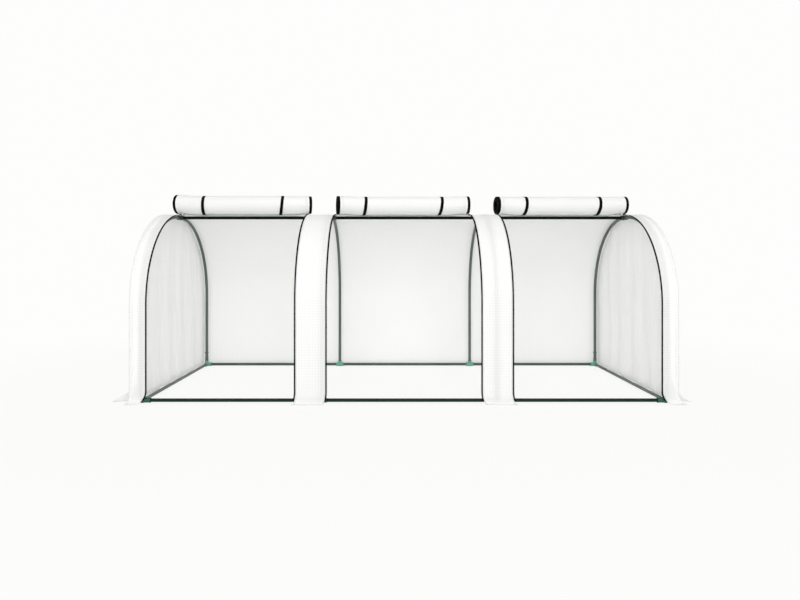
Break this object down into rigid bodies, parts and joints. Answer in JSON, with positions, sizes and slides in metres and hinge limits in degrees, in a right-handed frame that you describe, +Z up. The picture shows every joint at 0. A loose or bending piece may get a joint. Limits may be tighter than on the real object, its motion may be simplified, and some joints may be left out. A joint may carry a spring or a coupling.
{
  "type": "tunnel greenhouse",
  "caption": "Low garden tunnel: hooped tube frame under a translucent white cover, with zipped doors rolled up along the ridge.",
  "frame": {"origin": "on the ground under the middle of the tunnel, the centre of the whole outline seen from above", "axes": "+X along the tunnel to the right seen from the doors, -Y out of the doors, +Z up"},
  "size_m": [2.647, 1.0158, 1.0063],
  "materials": {
    "cover": "translucent white woven sheet with a fine reinforcement grid, satin",
    "tube": "dark green powder coat",
    "connector": "moulded green plastic, satin",
    "zip": "black zip tape with moulded teeth",
    "strap": "black woven webbing",
    "slider": "black painted die-cast slider"
  },
  "bodies": {
    "frame_and_cover": {"hoop_1_front_half": "tube", "hoop_1_back_half": "tube", "hoop_2_front_half": "tube", "hoop_2_back_half": "tube", "hoop_3_front_half": "tube", "hoop_3_back_half": "tube", "hoop_4_front_half": "tube", "hoop_4_back_half": "tube", "ridge_tube_1": "tube", "ridge_tube_2": "tube", "ridge_tube_3": "tube", "front_rail_1": "tube", "front_rail_2": "tube", "front_rail_3": "tube", "back_rail_1": "tube", "back_rail_2": "tube", "back_rail_3": "tube", "end_rail_left": "tube", "end_rail_right": "tube", "corner_front_left": "connector", "corner_front_right": "connector", "corner_back_left": "connector", "corner_back_right": "connector", "base_tee_front_2": "connector", "base_tee_front_3": "connector", "base_tee_back_2": "connector", "base_tee_back_3": "connector", "ridge_tee_left": "connector", "ridge_tee_right": "connector", "ridge_cross_2": "connector", "ridge_cross_3": "connector", "roof_and_back_sheet": "cover", "end_wall_left": "cover", "end_wall_right": "cover", "front_band_1": "cover", "front_band_2": "cover", "front_band_3": "cover", "front_band_4": "cover", "zip_tape_1": "zip", "zip_tape_2": "zip", "zip_tape_3": "zip", "zip_tape_4": "zip", "zip_tape_5": "zip", "zip_tape_6": "zip"},
    "door_1": {"door_roll_1": "cover", "door_strap_1_left": "strap", "door_strap_1_right": "strap"},
    "door_2": {"door_roll_2": "cover", "door_strap_2_left": "strap", "door_strap_2_right": "strap"},
    "door_3": {"door_roll_3": "cover", "door_strap_3_left": "strap", "door_strap_3_right": "strap"},
    "slider_1": {"zip_slider_1": "slider"},
    "slider_2": {"zip_slider_2": "slider"},
    "slider_3": {"zip_slider_3": "slider"},
    "slider_4": {"zip_slider_4": "slider"},
    "slider_5": {"zip_slider_5": "slider"},
    "slider_6": {"zip_slider_6": "slider"}
  },
  "joints": [
    {"name": "door_1_roll_down", "type": "hinge", "parent": "frame_and_cover", "child": "door_1", "pos_m": [-0.849, -0.024, 0.44888], "axis": [1, 0, 0], "range_deg": [0, 88]},
    {"name": "door_2_roll_down", "type": "hinge", "parent": "frame_and_cover", "child": "door_2", "pos_m": [0.005, -0.024, 0.44888], "axis": [1, 0, 0], "range_deg": [0, 88]},
    {"name": "door_3_roll_down", "type": "hinge", "parent": "frame_and_cover", "child": "door_3", "pos_m": [0.846, -0.024, 0.44888], "axis": [1, 0, 0], "range_deg": [0, 88]},
    {"name": "zip_slider_1_travel", "type": "hinge", "parent": "frame_and_cover", "child": "slider_1", "pos_m": [-1.18, -0.024, 0.44888], "axis": [1, 0, 0], "range_deg": [0, 86]},
    {"name": "zip_slider_2_travel", "type": "hinge", "parent": "frame_and_cover", "child": "slider_2", "pos_m": [-0.501, -0.024, 0.44888], "axis": [1, 0, 0], "range_deg": [0, 86]},
    {"name": "zip_slider_3_travel", "type": "hinge", "parent": "frame_and_cover", "child": "slider_3", "pos_m": [-0.356, -0.024, 0.44888], "axis": [1, 0, 0], "range_deg": [0, 86]},
    {"name": "zip_slider_4_travel", "type": "hinge", "parent": "frame_and_cover", "child": "slider_4", "pos_m": [0.356, -0.024, 0.44888], "axis": [1, 0, 0], "range_deg": [0, 86]},
    {"name": "zip_slider_5_travel", "type": "hinge", "parent": "frame_and_cover", "child": "slider_5", "pos_m": [0.501, -0.024, 0.44888], "axis": [1, 0, 0], "range_deg": [0, 86]},
    {"name": "zip_slider_6_travel", "type": "hinge", "parent": "frame_and_cover", "child": "slider_6", "pos_m": [1.18, -0.024, 0.44888], "axis": [1, 0, 0], "range_deg": [0, 86]}
  ]
}
